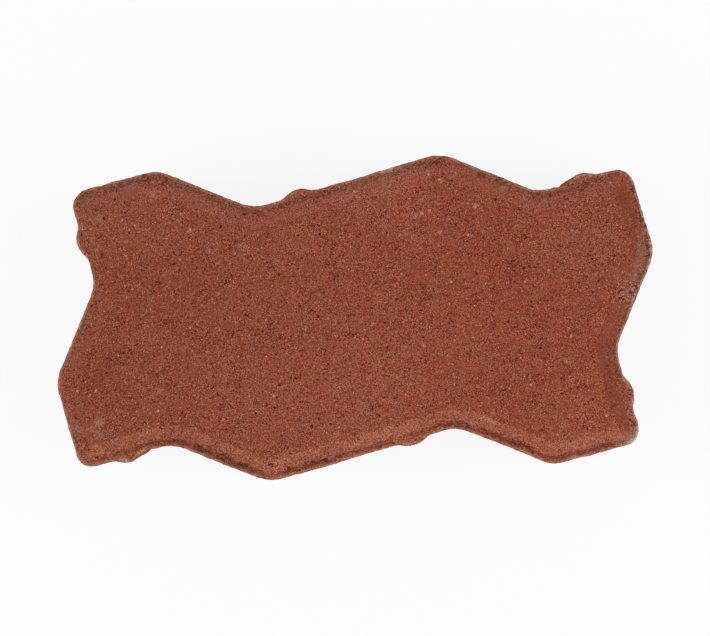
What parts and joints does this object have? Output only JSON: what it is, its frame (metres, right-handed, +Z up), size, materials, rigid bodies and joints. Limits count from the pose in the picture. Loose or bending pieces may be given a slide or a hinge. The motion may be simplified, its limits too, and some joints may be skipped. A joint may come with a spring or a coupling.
{
  "type": "interlocking concrete paving stone",
  "caption": "Zigzag-sided interlocking concrete paving stone with bevelled wearing face and spacer nibs on its upright sides.",
  "frame": {"origin": "centre of the bed face, on the surface that the stone lies on", "axes": "+X along the stone's length, +Y along its width, +Z up from the bed face to the wearing face"},
  "size_m": [0.2364, 0.124, 0.06],
  "materials": {
    "red_concrete": "through-coloured red pressed concrete, matt, fine open grain with small dark pores and pale sand grains, smoother on the bevel"
  },
  "bodies": {
    "root": {"paving_stone": "red_concrete"}
  },
  "joints": []
}
